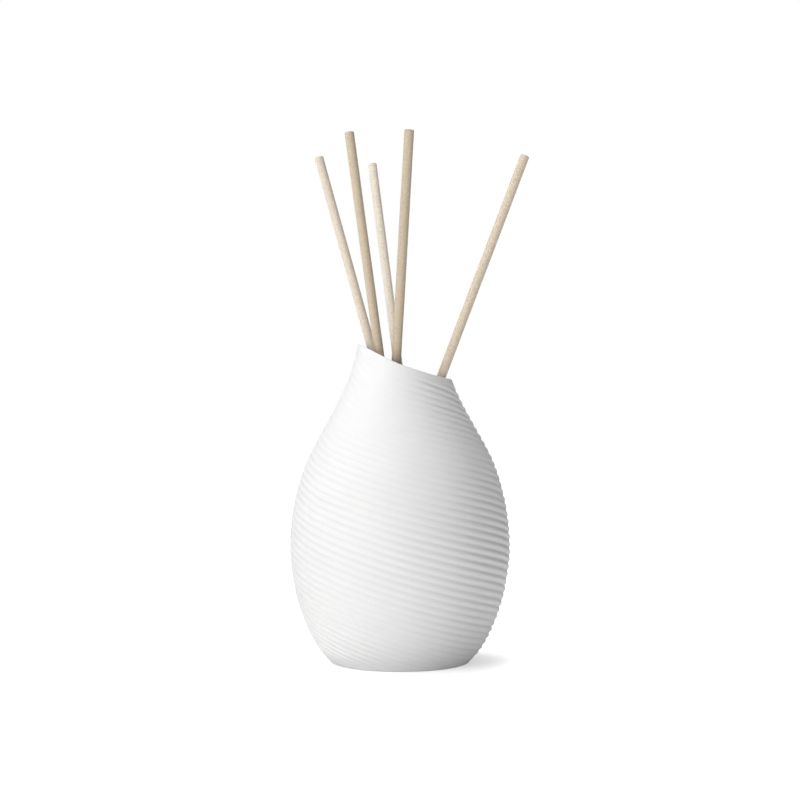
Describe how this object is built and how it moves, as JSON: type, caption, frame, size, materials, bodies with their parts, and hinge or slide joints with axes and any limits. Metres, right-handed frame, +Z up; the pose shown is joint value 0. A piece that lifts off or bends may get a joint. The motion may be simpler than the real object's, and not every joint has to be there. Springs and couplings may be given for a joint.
{
  "type": "reed diffuser",
  "caption": "Ribbed matt white porcelain vase with a slanted curved mouth, holding fragrance oil and loose beige reeds that draw the scent up.",
  "frame": {"origin": "centre of the vase's flat foot, on the surface it stands on", "axes": "+Z up along the vase's axis; the mouth slopes down from its peak at -X to its low side at +X; -Y is the front, where the diagonal ribs and the slanted mouth are seen in profile"},
  "size_m": [0.0995, 0.0918, 0.2211],
  "materials": {
    "porcelain": "matte",
    "reed_light": "matte",
    "reed_tan": "matte",
    "oil": "gloss"
  },
  "bodies": {
    "vase": {"vase_body": "porcelain", "fragrance_oil": "oil"},
    "reed_far_left": {"reed_far_left": "reed_light"},
    "reed_left": {"reed_left": "reed_tan"},
    "reed_centre": {"reed_centre": "reed_light"},
    "reed_right": {"reed_right": "reed_tan"},
    "reed_far_right": {"reed_far_right": "reed_light"}
  },
  "joints": [
    {"name": "reed_far_left_lift", "type": "slide", "parent": "vase", "child": "reed_far_left", "axis": [-0.2653, 0.1263, 0.9559], "range_m": [0, 0.13]},
    {"name": "reed_left_lift", "type": "slide", "parent": "vase", "child": "reed_left", "axis": [-0.1348, 0.1068, 0.9851], "range_m": [0, 0.125]},
    {"name": "reed_centre_lift", "type": "slide", "parent": "vase", "child": "reed_centre", "axis": [-0.1225, 0.27, 0.955], "range_m": [0, 0.125]},
    {"name": "reed_right_lift", "type": "slide", "parent": "vase", "child": "reed_right", "axis": [0.055, -0.2781, 0.959], "range_m": [0, 0.1245]},
    {"name": "reed_far_right_lift", "type": "slide", "parent": "vase", "child": "reed_far_right", "axis": [0.3546, 0.0279, 0.9346], "range_m": [0, 0.1215]}
  ]
}
